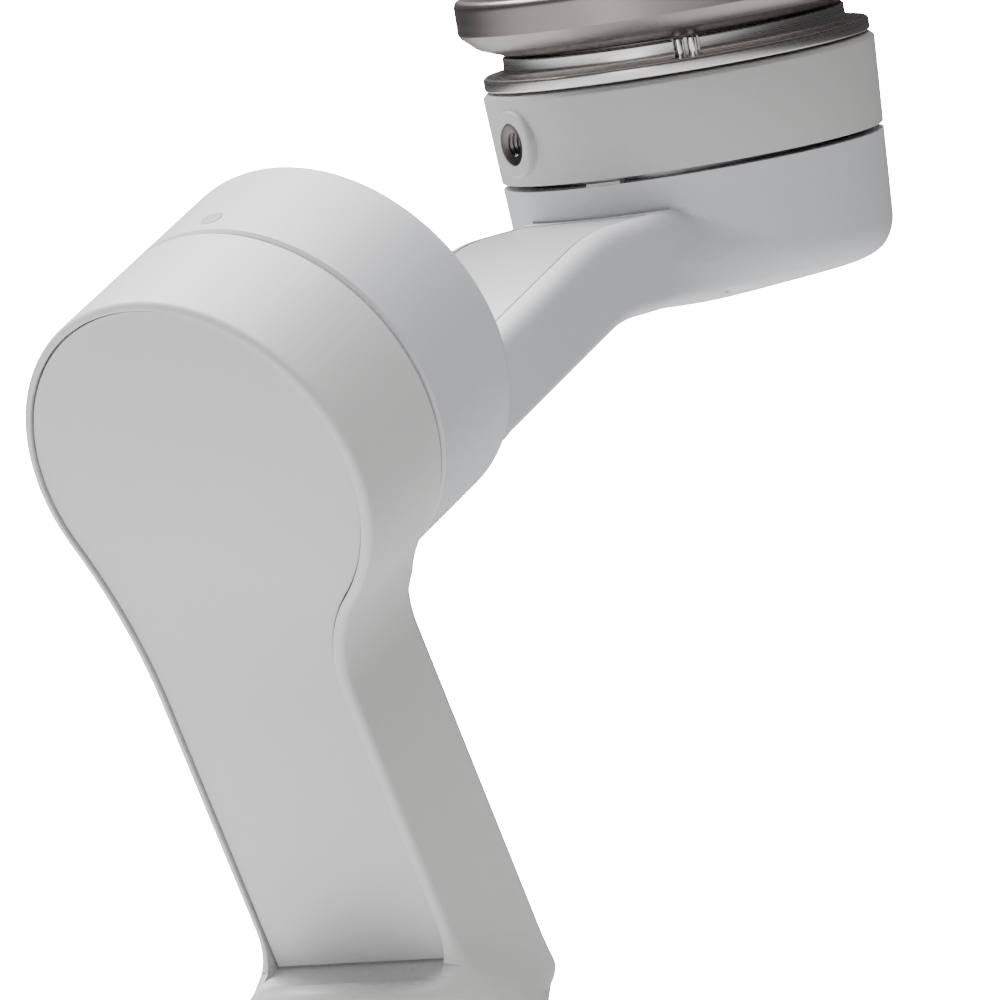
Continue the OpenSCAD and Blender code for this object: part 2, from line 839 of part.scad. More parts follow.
module jaw_pad() {
    half = clamp_gap / 2 + pad_t;
    color([0.18, 0.18, 0.19])
    at_tilt() translate([half - pad_t, body_y[1], swivel_z - 11])
        cube([pad_t, jaw_front - 2.4 - body_y[1], 22]);
}

handle_front_shell();
handle_rear_shell();
base_cap();
tripod_insert();
battery_cell();
main_board();
usb_socket();
handle_screws();
control_panel();
joystick_base();
joystick_yoke();
joystick_cap();
record_button();
mode_button();
power_button();
trigger();
trigger_pin();
zoom_dial();
pan_housing();
pan_motor_base();
pan_stator();
pan_bearings();
pan_sensor_board();
pan_bell();
pan_magnet_ring();
pan_shaft();
arm_1_shell();
arm_1_cover();
roll_motor_base();
roll_stator();
roll_bearings();
roll_sensor_board();
roll_bell();
roll_magnet_ring();
roll_shaft();
arm_2_shell();
arm_2_cover();
alignment_mark();
tilt_stop_lug();
tilt_motor_base();
tilt_stator();
tilt_bearings();
tilt_sensor_board();
tilt_bell();
tilt_magnet_ring();
tilt_shaft();
tilt_housing();
accessory_insert();
mount_ring();
mount_neck();
contact_pins();
clamp_base();
clamp_post();
swivel_pin();
clamp_body();
clamp_pad();
jaw_spring();
sliding_jaw();
jaw_rods();
jaw_pad();
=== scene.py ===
# %% [markdown]
# # A handheld phone gimbal
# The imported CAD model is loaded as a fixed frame: it says where each piece is and how it moves. Everything
# below makes the visible skins, the small metal parts and the finishes around it, in metres.

import json
import math

import bpy
import bmesh
import numpy as np
from mathutils import Matrix, Vector


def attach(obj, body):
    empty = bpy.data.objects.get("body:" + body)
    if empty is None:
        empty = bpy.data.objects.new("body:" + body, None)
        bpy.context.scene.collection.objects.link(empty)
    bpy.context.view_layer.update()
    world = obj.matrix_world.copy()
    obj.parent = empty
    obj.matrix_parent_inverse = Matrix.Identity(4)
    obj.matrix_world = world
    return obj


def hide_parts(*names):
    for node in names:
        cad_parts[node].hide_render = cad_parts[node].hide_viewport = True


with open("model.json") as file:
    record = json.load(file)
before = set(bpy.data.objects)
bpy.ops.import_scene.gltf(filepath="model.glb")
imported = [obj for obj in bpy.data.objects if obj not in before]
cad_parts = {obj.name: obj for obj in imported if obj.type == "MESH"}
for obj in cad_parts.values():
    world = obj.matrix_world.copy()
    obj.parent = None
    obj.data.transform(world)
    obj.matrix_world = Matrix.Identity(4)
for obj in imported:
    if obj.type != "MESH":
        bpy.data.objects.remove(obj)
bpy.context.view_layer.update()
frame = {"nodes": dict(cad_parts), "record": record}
nodes = frame["nodes"]
record = frame["record"]
MM = 0.001

# %% [markdown]
# ## Where the motors are
# Each motor has its own frame: Z along its shaft, with zero at the seam, and X across the gimbal. The joint in
# the record gives the place and the direction, so nothing is measured twice.

# %% Motor frames
joints = {j["name"]: j for j in record["behaviour"]["joints"]}


def joint_frame(name):
    """The matrix of a hinge's own frame: its Z is the hinge axis and its X runs across the gimbal."""
    axis_z = Vector(joints[name]["axis"]).normalized()
    axis_y = axis_z.cross(Vector((1, 0, 0))).normalized()
    axis_x = axis_y.cross(axis_z)
    turned = Matrix((axis_x, axis_y, axis_z)).transposed().to_4x4()
    return Matrix.Translation(joints[name]["pos_m"]) @ turned


ROLL = joint_frame("roll")
TILT = joint_frame("tilt")
PAN = joint_frame("pan")
print("roll axis", tuple(round(v, 3) for v in ROLL.col[2][:3]))
print("tilt axis", tuple(round(v, 3) for v in TILT.col[2][:3]))

# %% [markdown]
# ## Camera
# The long lens flattens the perspective. It stands a little under the level of the roll motor and looks up,
# from the gimbal's front right.

# %% Camera
VIEW_AZIMUTH = math.radians(36.8)
VIEW_RISE = math.radians(-6.6)
VIEW_DISTANCE = 1.352
LENS = 360
# From the roll motor's seam to the middle of the view, to the right and down
AIM_RIGHT = 0.0312
AIM_DOWN = 0.01245


def add_camera():
    right = Vector((math.cos(VIEW_AZIMUTH), math.sin(VIEW_AZIMUTH), 0))
    back = Vector((
        math.sin(VIEW_AZIMUTH) * math.cos(VIEW_RISE),
        -math.cos(VIEW_AZIMUTH) * math.cos(VIEW_RISE),
        math.sin(VIEW_RISE),
    ))
    up = back.cross(right)
    aim = ROLL.translation + right * AIM_RIGHT - up * AIM_DOWN
    data = bpy.data.cameras.new("camera")
    data.lens = LENS
    data.clip_end = 50
    camera = bpy.data.objects.new("camera", data)
    facing = Matrix((right, up, back)).transposed().to_4x4()
    camera.matrix_world = Matrix.Translation(aim + back * VIEW_DISTANCE) @ facing
    bpy.context.collection.objects.link(camera)
    bpy.context.scene.camera = camera
    return camera


camera = add_camera()
print("camera at", tuple(round(v, 3) for v in camera.location))

# %% [markdown]
# ## Materials
# The shells are moulded plastic with a very fine spark-eroded grain: a tight noise drives a slight bump, and a
# slow noise drifts the colour and the roughness a little, as on a real moulding.

# %% Material helpers


def node_tree(name):
    """A new material with its Principled shader, Object coordinates and a helper that adds nodes."""
    material = bpy.data.materials.new(name)
    material.use_nodes = True
    tree = material.node_tree
    shader = tree.nodes["Principled BSDF"]
    place = tree.nodes.new("ShaderNodeTexCoord")
    return material, tree, shader, place.outputs["Object"]


def noise(tree, place, scale, detail=2.0):
    made = tree.nodes.new("ShaderNodeTexNoise")
    made.inputs["Scale"].default_value = scale
    made.inputs["Detail"].default_value = detail
    tree.links.new(place, made.inputs["Vector"])
    return made.outputs["Fac"]


def ranged(tree, value, low, high):
    """Maps a 0 to 1 value onto low to high."""
    made = tree.nodes.new("ShaderNodeMapRange")
    made.inputs["To Min"].default_value = low
    made.inputs["To Max"].default_value = high
    tree.links.new(value, made.inputs["Value"])
    return made.outputs["Result"]


def drift_colour(tree, shader, value, colour, spread):
    """Lets the base colour wander a little round one colour."""
    mix = tree.nodes.new("ShaderNodeMix")
    mix.data_type = "RGBA"
    mix.inputs["A"].default_value = (*[c * (1 - spread) for c in colour], 1)
    mix.inputs["B"].default_value = (*[min(1, c * (1 + spread)) for c in colour], 1)
    tree.links.new(value, mix.inputs["Factor"])
    tree.links.new(mix.outputs["Result"], shader.inputs["Base Color"])


def bump(tree, shader, height, distance, strength=1.0):
    made = tree.nodes.new("ShaderNodeBump")
    made.inputs["Distance"].default_value = distance
    made.inputs["Strength"].default_value = strength
    tree.links.new(height, made.inputs["Height"])
    tree.links.new(made.outputs["Normal"], shader.inputs["Normal"])


def moulded(name, colour, rough=0.42, grain=0.000012, grain_scale=5200, spread=0.02):
    """Moulded plastic with a fine grain."""
    material, tree, shader, place = node_tree(name)
    drift_colour(tree, shader, noise(tree, place, 35), colour, spread)
    slow = noise(tree, place, 60)
    tree.links.new(ranged(tree, slow, rough - 0.05, rough + 0.05), shader.inputs["Roughness"])
    bump(tree, shader, noise(tree, place, grain_scale, 1.0), grain)
    return material


def turned_metal(name, colour, axis_matrix, rough=0.28, lines=3200, depth=0.000006, spread=0.05):
    """Turned metal: fine rings round the lathe's axis, as a noise that is stretched along the rings."""
    material, tree, shader, place = node_tree(name)
    shader.inputs["Metallic"].default_value = 1.0
    to_axis = tree.nodes.new("ShaderNodeMapping")
    to_axis.vector_type = "POINT"
    inverse = axis_matrix.inverted()
    to_axis.inputs["Location"].default_value = inverse.translation
    to_axis.inputs["Rotation"].default_value = inverse.to_euler()
    tree.links.new(place, to_axis.inputs["Vector"])
    split = tree.nodes.new("ShaderNodeSeparateXYZ")
    tree.links.new(to_axis.outputs["Vector"], split.inputs["Vector"])
    flat = tree.nodes.new("ShaderNodeCombineXYZ")
    tree.links.new(split.outputs["X"], flat.inputs["X"])
    tree.links.new(split.outputs["Y"], flat.inputs["Y"])
    radius = tree.nodes.new("ShaderNodeVectorMath")
    radius.operation = "LENGTH"
    tree.links.new(flat.outputs["Vector"], radius.inputs["Vector"])
    rings = tree.nodes.new("ShaderNodeCombineXYZ")
    tree.links.new(radius.outputs["Value"], rings.inputs["X"])
    tree.links.new(split.outputs["Z"], rings.inputs["Y"])
    cuts = noise(tree, rings.outputs["Vector"], lines, 3.0)
    drift_colour(tree, shader, cuts, colour, spread)
    tree.links.new(ranged(tree, cuts, rough - 0.07, rough + 0.07), shader.inputs["Roughness"])
    bump(tree, shader, cuts, depth)
    return material


def plain_metal(name, colour, rough=0.3, spread=0.06, scale=900, depth=0.000006):
    """Ground or plated metal with a light tooth."""
    material, tree, shader, place = node_tree(name)
    shader.inputs["Metallic"].default_value = 1.0
    tooth = noise(tree, place, scale, 3.0)
    drift_colour(tree, shader, tooth, colour, spread)
    tree.links.new(ranged(tree, tooth, rough - 0.06, rough + 0.06), shader.inputs["Roughness"])
    bump(tree, shader, tooth, depth)
    return material


# %% The finishes
warm_shell = moulded("warm_shell", (0.690, 0.685, 0.675))
cool_shell = moulded("cool_shell", (0.640, 0.650, 0.675))
head_shell = moulded("head_shell", (0.570, 0.563, 0.556), rough=0.45)
flat_panel = moulded("flat_panel", (0.620, 0.624, 0.640), rough=0.36, grain=0.000006, grain_scale=7000)
label_panel = moulded("label_panel", (0.500, 0.505, 0.525), rough=0.34, grain=0.000005, grain_scale=7000)
mark_ink = moulded("mark_ink", (0.400, 0.405, 0.420), rough=0.5)
dark_plastic = moulded(
    "dark_plastic", (0.045, 0.045, 0.048), rough=0.48, grain=0.000020, grain_scale=3500, spread=0.08
)
soft_rubber = moulded(
    "soft_rubber", (0.030, 0.030, 0.032), rough=0.72, grain=0.000030, grain_scale=2600, spread=0.1
)
red_button = moulded("red_button", (0.420, 0.020, 0.015), rough=0.3, grain=0.000004)
grey_button = moulded("grey_button", (0.420, 0.420, 0.430), rough=0.34, grain=0.000004)
satin_silver = turned_metal("satin_silver", (0.72, 0.705, 0.69), TILT)
dark_turned = turned_metal("dark_turned", (0.30, 0.275, 0.26), TILT, rough=0.34)
brushed_silver = plain_metal("brushed_silver", (0.66, 0.65, 0.64), rough=0.36, scale=1500, depth=0.000003)
bright_pin = plain_metal("bright_pin", (0.85, 0.83, 0.80), rough=0.14)
black_steel = plain_metal("black_steel", (0.16, 0.145, 0.135), rough=0.32)
steel = plain_metal("steel", (0.55, 0.55, 0.56), rough=0.3)
motor_alloy = plain_metal("motor_alloy", (0.50, 0.50, 0.51), rough=0.42)
copper = plain_metal("copper", (0.62, 0.27, 0.12), rough=0.35, scale=2500)
magnet = plain_metal("magnet", (0.10, 0.10, 0.11), rough=0.5)
brass = plain_metal("brass", (0.66, 0.48, 0.22), rough=0.3)
circuit = moulded("circuit", (0.012, 0.110, 0.050), rough=0.35, spread=0.15)
cell_wrap = moulded("cell_wrap", (0.020, 0.070, 0.200), rough=0.3, spread=0.1)
print("finishes:", len(bpy.data.materials))

# %% [markdown]
# ## Modelling helpers
# Round parts are drawn as on a lathe: a circle is added and extruded ring by ring along the profile. The two
# arms flow into round housings, so they are joined solids, remeshed evenly and then settled onto the exact
# blended surface by formula, which leaves a clean fillet where two bodies meet.

# %% Selection and mesh helpers


def deselect():
    if bpy.context.mode != "OBJECT":
        bpy.ops.object.mode_set(mode="OBJECT")
    bpy.ops.object.select_all(action="DESELECT")


def only(piece):
    deselect()
    piece.select_set(True)
    bpy.context.view_layer.objects.active = piece


def finish_piece(piece, name, material, body, stands_for, angle=35):
    """Names a piece, smooths it, gives it its finish and lets it ride on its body."""
    only(piece)
    piece.name = name
    piece.data.name = name
    bpy.ops.object.shade_smooth_by_angle(angle=math.radians(angle))
    piece.data.materials.clear()
    piece.data.materials.append(material)
    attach(piece, body)
    if stands_for:
        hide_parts(*stands_for)
    print(name, len(piece.data.polygons), "faces")
    return piece


def apply_modifier(piece, kind, **settings):
    only(piece)
    modifier = piece.modifiers.new(kind.lower(), kind)
    for key, value in settings.items():
        setattr(modifier, key, value)
    bpy.ops.object.modifier_apply(modifier=modifier.name)


def cut(piece, tool, operation="DIFFERENCE"):
    """Cuts a piece with a closed tool, which is then thrown away."""
    apply_modifier(piece, "BOOLEAN", object=tool, operation=operation, solver="MANIFOLD")
    bpy.data.objects.remove(tool)


def place(piece, matrix):
    piece.data.transform(matrix)
    piece.data.update()
    return piece


def lathe(profile, steps=160):
    """A closed solid turned round Z. profile is (radius, height) from the bottom of the axis to its top, in mm."""
    deselect()
    (r, z), rest = profile[0], profile[1:]
    bpy.ops.mesh.primitive_circle_add(vertices=steps, radius=max(r, 0.001) * MM, location=(0, 0, z * MM))
    piece = bpy.context.object
    bpy.ops.object.transform_apply()
    bpy.ops.object.mode_set(mode="EDIT")
    bpy.ops.mesh.select_all(action="SELECT")
    for next_r, next_z in rest:
        bpy.ops.mesh.extrude_region_move(TRANSFORM_OT_translate={"value": (0, 0, (next_z - z) * MM)})
        scale = max(next_r, 0.001) / max(r, 0.001)
        bpy.ops.transform.resize(value=(scale, scale, 1), center_override=(0, 0, next_z * MM))
        r, z = next_r, next_z
    bpy.ops.mesh.select_all(action="SELECT")
    bpy.ops.mesh.remove_doubles(threshold=0.000002)
    bpy.ops.mesh.normals_make_consistent(inside=False)
    bpy.ops.object.mode_set(mode="OBJECT")
    return piece


def round_corner(corner, radius, start, end, steps=5):
    """Points of an arc inside a profile's corner, from the direction start to the direction end, in degrees."""
    points = []
    for i in range(steps + 1):
        turn = math.radians(start + (end - start) * i / steps)
        points.append((corner[0] + radius * math.cos(turn), corner[1] + radius * math.sin(turn)))
    return points


def drum(r, z0, z1, soft=0.3, steps=160):
    """A plain turned drum with rounded edges, in mm."""
    low = round_corner((r - soft, z0 + soft), soft, -90, 0)
    high = round_corner((r - soft, z1 - soft), soft, 0, 90)
    return lathe([(0, z0)] + low + high + [(0, z1)], steps)


# %% Blended skins


def rounded_both(a, b, radius):
    """The inside of both a and b, with their common edge rounded."""
    a = a + radius
    b = b + radius
    return np.minimum(np.maximum(a, b), 0) + np.hypot(np.maximum(a, 0), np.maximum(b, 0)) - radius


def blend_union(a, b, width):
    """The inside of either a or b, with a fillet of about that width where they meet."""
    h = np.clip(0.5 + 0.5 * (b - a) / width, 0, 1)
    return b * (1 - h) + a * h - width * h * (1 - h)


def to_frame(points, matrix):
    """World points in mm, seen in a motor's own frame."""
    inverse = matrix.inverted()
    turn = np.array(inverse.to_3x3())
    return points @ turn.T + np.array(inverse.translation) / MM


def settle(piece, distance, voxel, rounds=9):
    """Remeshes a solid evenly, then moves each point onto the surface where distance is zero, in mm."""
    apply_modifier(piece, "REMESH", mode="VOXEL", voxel_size=voxel * MM)
    count = len(piece.data.vertices)
    flat = np.empty(count * 3)
    piece.data.vertices.foreach_get("co", flat)
    points = flat.reshape(-1, 3) / MM
    step = 0.02
    for _ in range(rounds):
        here = distance(points)
        slope = np.empty_like(points)
        for axis in range(3):
            shift = np.zeros(3)
            shift[axis] = step
            slope[:, axis] = (distance(points + shift) - distance(points - shift)) / (2 * step)
        size = np.maximum((slope**2).sum(1), 0.2)
        move = slope * (here / size)[:, None]
        points = points - np.clip(move, -voxel, voxel)
    piece.data.vertices.foreach_set("co", (points * MM).ravel())
    piece.data.update()
    return piece


def block_in(low, high, matrix=None):
    """A box from low to high in mm, in a motor's frame or in the world."""
    deselect()
    middle = [(a + b) / 2 * MM for a, b in zip(low, high)]
    bpy.ops.mesh.primitive_cube_add(size=1, location=middle)
    piece = bpy.context.object
    piece.scale = [(b - a) * MM for a, b in zip(low, high)]
    bpy.ops.object.transform_apply()
    return place(piece, matrix) if matrix else piece


def trim(piece, matrix, height, keep_above):
    """Slices a piece flat across a motor's axis at that height, in mm."""
    low, high = (height - 200, height) if keep_above else (height, height + 200)
    cut(piece, block_in((-200, -200, low), (200, 200, high), matrix))


# %% [markdown]
# ## Lower arm
# Seen along the roll axis it is a tadpole: the round motor housing and a parallel strip, joined by a tight neck
# on one side and a long one on the other. Its foot swells into the drum over the pan motor.

# %% Sizes of the two arms
ROLL_R = 27.0
ROLL_DEPTH = 19.8
HALF_SEAM = 0.4
WALL = 2.0
ARM_HALF = 16.4
ARM_X = -5.0
NECK_RIGHT = 18.5
NECK_LEFT = 78.0
COVER_INSET = 1.5
COVER_END = 76.0
COVER_GAP = 0.28
PAN_R = 20.0


def arc(cx, cy, radius, start, end, steps):
    return [
        (cx + radius * math.cos(math.radians(a)), cy + radius * math.sin(math.radians(a)))
        for a in np.linspace(start, end, steps + 1)
    ]


def tadpole(inset, length, steps=96):
    """The lower arm's outline in the roll frame, in mm, shrunk by inset and cut off at length."""
    r = ROLL_R - inset
    sides = []
    half = ARM_HALF - inset
    for side, fillet in ((half + ARM_X, NECK_RIGHT + inset), (half - ARM_X, NECK_LEFT + inset)):
        fx = side + fillet
        fy = math.sqrt((r + fillet) ** 2 - fx**2)
        sides.append((fx, fy, fillet, math.degrees(math.atan2(fy, fx))))
    (rx, ry, rf, rt), (lx, ly, lf, lt) = sides
    half = ARM_HALF - inset
    outline = [(ARM_X - half, length), (ARM_X + half, length)]
    outline += arc(rx, ry, rf, 180, 180 + rt, 24)
    outline += arc(0, 0, r, rt - 1, -180 - lt + 1, steps)
    outline += arc(-lx, ly, lf, -lt, 0, 24)
    return outline


def loft(rings, matrix=None):
    """A closed solid through rings of the same number of points. Each ring is (points in mm, height in mm)."""
    deselect()
    points = [[Vector((x * MM, y * MM, z * MM)) for x, y in outline] for outline, z in rings]
    bpy.ops.mesh.primitive_circle_add(vertices=len(points[0]), radius=MM)
    piece = bpy.context.object
    for vertex, co in zip(piece.data.vertices, points[0]):
        vertex.co = co
    bpy.ops.object.mode_set(mode="EDIT")
    bpy.ops.mesh.select_all(action="SELECT")
    bpy.ops.mesh.edge_face_add()
    for previous, ring in zip(points, points[1:]):
        bpy.ops.mesh.extrude_region_move()
        shape = bmesh.from_edit_mesh(piece.data)
        chosen = [v for v in shape.verts if v.select]
        was = np.array(previous)
        for vertex in chosen:
            vertex.co = ring[int(((was - np.array(vertex.co)) ** 2).sum(1).argmin())]
        bmesh.update_edit_mesh(piece.data)
    bpy.ops.mesh.select_all(action="SELECT")
    bpy.ops.mesh.normals_make_consistent(inside=False)
    bpy.ops.mesh.quads_convert_to_tris(quad_method="FIXED", ngon_method="CLIP")
    bpy.ops.object.mode_set(mode="OBJECT")
    return place(piece, matrix) if matrix else piece


def plate(outline, z0, z1, matrix=None):
    """A flat plate with that outline between two heights, in mm."""
    return loft([(outline, z0), (outline, z1)], matrix)


def paint_gap_shade(piece, material, out, limit=0.6):
    """Gives the faces that don't look along out a dark second finish: painted shade, so the gap round a let-in
    cover reads as a dark line.
    """
    piece.data.materials.append(material)
    for face in piece.data.polygons:
        if face.normal.dot(out) < limit:
            face.material_index = 1


def outline_distance(outline, x, y):
    """How far points are outside an outline, in mm, and negative inside it."""
    corners = np.array(outline)
    best = np.full(len(x), 1e9)
    inside = np.zeros(len(x), bool)
    for (ax, ay), (bx, by) in zip(corners, np.roll(corners, -1, axis=0)):
        ex, ey = bx - ax, by - ay
        along = np.clip(((x - ax) * ex + (y - ay) * ey) / (ex * ex + ey * ey), 0, 1)
        best = np.minimum(best, (x - ax - along * ex) ** 2 + (y - ay - along * ey) ** 2)
        crosses = (ay > y) != (by > y)
        with np.errstate(divide="ignore", invalid="ignore"):
            inside ^= crosses & (x < (bx - ax) * (y - ay) / (by - ay) + ax)
    return np.where(inside, -1, 1) * np.sqrt(best)


# %% The lower arm's shell
ARM_1_LEN = 96.0
FRONT_SOFT = 1.1
DRUM_TOP = 14.0
ELBOW_BLEND = 9.0
arm_1_outline = tadpole(0, ARM_1_LEN, 72)


def arm_1_distance(points):
    q = to_frame(points, ROLL)
    p = to_frame(points, PAN)
    radial = np.hypot(p[:, 0], p[:, 1])
    side = outline_distance(arm_1_outline, q[:, 0], q[:, 1])
    slab = rounded_both(side, -ROLL_DEPTH - q[:, 2], FRONT_SOFT)
    # The motor's rim runs on past the seam and is sliced there; away from it the back edge is rounded
    away = np.clip((np.hypot(q[:, 0], q[:, 1]) - ROLL_R) / 4, 0, 1)
    slab = rounded_both(slab, q[:, 2] - 1.5 + 1.95 * away, 1.6 * away)
    # The strip's back corners are drawn in where they run into the round foot
    funnel = radial - PAN_R - 1.2 * np.maximum(p[:, 2] - DRUM_TOP, 0)
    slab = rounded_both(slab, funnel, 3.0)
    barrel = rounded_both(radial - PAN_R, p[:, 2] - DRUM_TOP, 3.0)
    barrel = np.maximum(barrel, -1.5 - p[:, 2])
    slab = np.maximum(slab, -1.5 - p[:, 2])
    return blend_union(slab, barrel, np.where(q[:, 1] > 40, ELBOW_BLEND, 0.01))


def make_arm_1_shell():
    piece = plate(tadpole(0, 93, 72), -ROLL_DEPTH, 1.5, ROLL)
    cut(piece, place(drum(PAN_R, -1.5, DRUM_TOP, 1.0), PAN), "UNION")
    settle(piece, arm_1_distance, 0.42)
    trim(piece, ROLL, -HALF_SEAM, False)
    trim(piece, PAN, HALF_SEAM, True)
    seat = tadpole(COVER_INSET - COVER_GAP, COVER_END + COVER_GAP, 160)
    cut(piece, plate(seat, -ROLL_DEPTH - 5, -ROLL_DEPTH + 1.72, ROLL))
    cut(piece, place(drum(ROLL_R - WALL, -14, 3, 0.1), ROLL))
    cut(piece, place(drum(PAN_R - WALL, -3, 11, 0.1), PAN))
    return finish_piece(piece, "arm_1_skin", warm_shell, "arm_1", ["arm_1_shell"], 25)


make_arm_1_shell()

# %% The flat cover let into the lower arm
EDGE = 0.18
cover_rings = []
for sink, inset in ((1.7, 0), (0.4 + EDGE, 0), (0.4 + EDGE * 0.3, EDGE * 0.3), (0.4, EDGE)):
    cover_rings.append((tadpole(COVER_INSET + inset, COVER_END - inset, 160), -ROLL_DEPTH + sink))
cover = loft(cover_rings, ROLL)
arm_1_cover = finish_piece(cover, "arm_1_panel", flat_panel, "arm_1", ["arm_1_cover"], 25)
# The cover's side walls get the dark finish: painted shade in the gap round the cover.
paint_gap_shade(arm_1_cover, dark_plastic, ROLL.to_3x3() @ Vector((0, 0, -1)), 0.3)

# %% [markdown]
# ## Upper arm
# One moulding makes the rear half of the roll housing, the curved arm and the tilt motor's cup. The arm's sides
# melt into the cup, but its top meets the cup's wall at a crisp line, so the fillet fades towards the top.

# %% Sizes of the upper arm
ARM_2_HALF = 14.6
ARM_2_THICK = 13.9
ARM_2_TOP = 8.6
ARM_2_DROP = 4.9
ARM_2_CORNER = 3.0
BEND_R = 20.0
TILT_R = 27.7
TAPER = 0.058
CUP_DEPTH = ARM_2_DROP + ARM_2_THICK
CUP_ROUND = 6.5
LABEL_HALF = 11.0

roll_out = np.array(ROLL.to_3x3() @ Vector((0, 0, 1)))
roll_up = np.array(ROLL.to_3x3() @ Vector((0, -1, 0)))
tilt_up = np.array(TILT.to_3x3() @ Vector((0, 0, 1)))
roll_at = np.array(ROLL.translation) / MM
tilt_at = np.array(TILT.translation) / MM


def bend_centre():
    """Where the upper arm's bend turns about: under both straight parts by the same depth."""
    rows = np.array([roll_up[1:], tilt_up[1:]])
    first = roll_up[1:] @ roll_at[1:] - (ARM_2_TOP + ARM_2_THICK + BEND_R)
    second = tilt_up[1:] @ tilt_at[1:] - (CUP_DEPTH + BEND_R)
    return np.linalg.solve(rows, np.array([first, second]))


bend_y, bend_z = bend_centre()
bend_first = math.atan2(tilt_up[2], tilt_up[1])
bend_last = math.atan2(roll_up[2], roll_up[1])
print("bend centre", round(bend_y, 1), round(bend_z, 1))


def arm_2_height(points):
    """How high points are over the upper arm's bottom, measured square to its run there."""
    y = points[:, 1] - bend_y
    z = points[:, 2] - bend_z
    turn = np.clip(np.arctan2(z, y), bend_first, bend_last)
    return np.cos(turn) * y + np.sin(turn) * z - BEND_R


def arm_2_distance(points):
    across = np.abs(points[:, 0] - roll_at[0])
    height = arm_2_height(points)
    dx = across - ARM_2_HALF
    dz = np.abs(height - ARM_2_THICK / 2) - ARM_2_THICK / 2
    bar = rounded_both(dx, dz, ARM_2_CORNER)
    q = to_frame(points, ROLL)
    bar = np.maximum(bar, 8 - q[:, 2])
    t = to_frame(points, TILT)
    bar = np.maximum(bar, t[:, 1])
    housing = rounded_both(np.hypot(q[:, 0], q[:, 1]) - ROLL_R, q[:, 2] - ROLL_DEPTH, 1.6)
    housing = np.maximum(housing, -2 - q[:, 2])
    wall = (np.hypot(t[:, 0], t[:, 1]) - TILT_R - TAPER * t[:, 2]) / math.hypot(1, TAPER)
    cup = rounded_both(wall, -CUP_DEPTH - HALF_SEAM - t[:, 2], CUP_ROUND)
    cup = np.maximum(cup, t[:, 2] - 1.5)
    fade = np.clip((ARM_2_THICK - 1 - height) / 6, 0.04, 1)
    body = blend_union(bar, cup, 9 * fade)
    # The blend swells where the two bottoms are level, so it is planed back there
    body = rounded_both(body, -height - HALF_SEAM, 2.5)
    return blend_union(body, housing, np.full(len(points), 1.2))


def sweep_rings(start, stop, steps=14):
    """Centre and upward direction of each cross-section along the upper arm, as pairs of (y, z) in mm."""
    centre = np.array([bend_y, bend_z])
    run = []
    for turn in np.linspace(bend_last, bend_first, steps + 1):
        run.append((centre, np.array([math.cos(turn), math.sin(turn)])))
    back = roll_out[1:]
    ahead = np.array([tilt_up[2], -tilt_up[1]])
    behind = (centre - roll_at[1:]) @ back - start
    beyond = (tilt_at[1:] - centre) @ ahead - stop
    return [(centre - back * behind, run[0][1])] + run + [(centre + ahead * beyond, run[-1][1])]


def sweep_bar(half, low, high, start, stop):
    """A closed bar along the upper arm, start mm along the roll axis to stop mm short of the tilt axis."""
    rings = []
    for base, out in sweep_rings(start, stop):
        ring = []
        for x, h in ((-half, low), (half, low), (half, high), (-half, high)):
            y, z = base + out * (BEND_R + h)
            ring.append(Vector(((roll_at[0] + x) * MM, y * MM, z * MM)))
        rings.append(ring)
    deselect()
    bpy.ops.mesh.primitive_plane_add(size=MM)
    piece = bpy.context.object
    for index, co in zip((0, 1, 3, 2), rings[0]):
        piece.data.vertices[index].co = co
    bpy.ops.object.mode_set(mode="EDIT")
    bpy.ops.mesh.select_all(action="SELECT")
    previous = rings[0]
    for ring in rings[1:]:
        bpy.ops.mesh.extrude_region_move()
        shape = bmesh.from_edit_mesh(piece.data)
        for vertex in [v for v in shape.verts if v.select]:
            vertex.co = ring[min(range(4), key=lambda i: (vertex.co - previous[i]).length)]
        bmesh.update_edit_mesh(piece.data)
        previous = ring
    bpy.ops.mesh.select_all(action="SELECT")
    bpy.ops.mesh.normals_make_consistent(inside=False)
    bpy.ops.object.mode_set(mode="OBJECT")
    return piece


# %% The upper arm's shell


